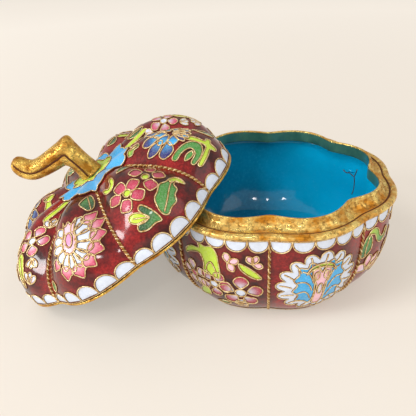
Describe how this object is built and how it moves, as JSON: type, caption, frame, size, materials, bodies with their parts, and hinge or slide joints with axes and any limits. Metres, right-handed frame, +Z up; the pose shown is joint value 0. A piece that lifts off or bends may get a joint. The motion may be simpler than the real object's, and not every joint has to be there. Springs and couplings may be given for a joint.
{
  "type": "cloisonne enamel box with its lid off",
  "caption": "Lobed, melon-shaped cloisonne enamel trinket box: open bowl with a gilt rim, its domed lid with a bent gilt stem leaning on it.",
  "frame": {"origin": "centre of the bowl's flat underside", "axes": "+Z up through the bowl's mouth; the lid leans on the bowl from the -X side with its stem pointing to -X"},
  "size_m": [0.124, 0.0813, 0.0512],
  "materials": {
    "red_enamel": "glossy red vitreous enamel over copper, with gilt wire cells",
    "gilt_metal": "bright gilding, slightly pitted"
  },
  "bodies": {
    "root": {"bowl": "red_enamel", "bowl_rim": "gilt_metal", "lid": "red_enamel", "lid_rim": "gilt_metal", "stem": "gilt_metal"}
  },
  "joints": []
}
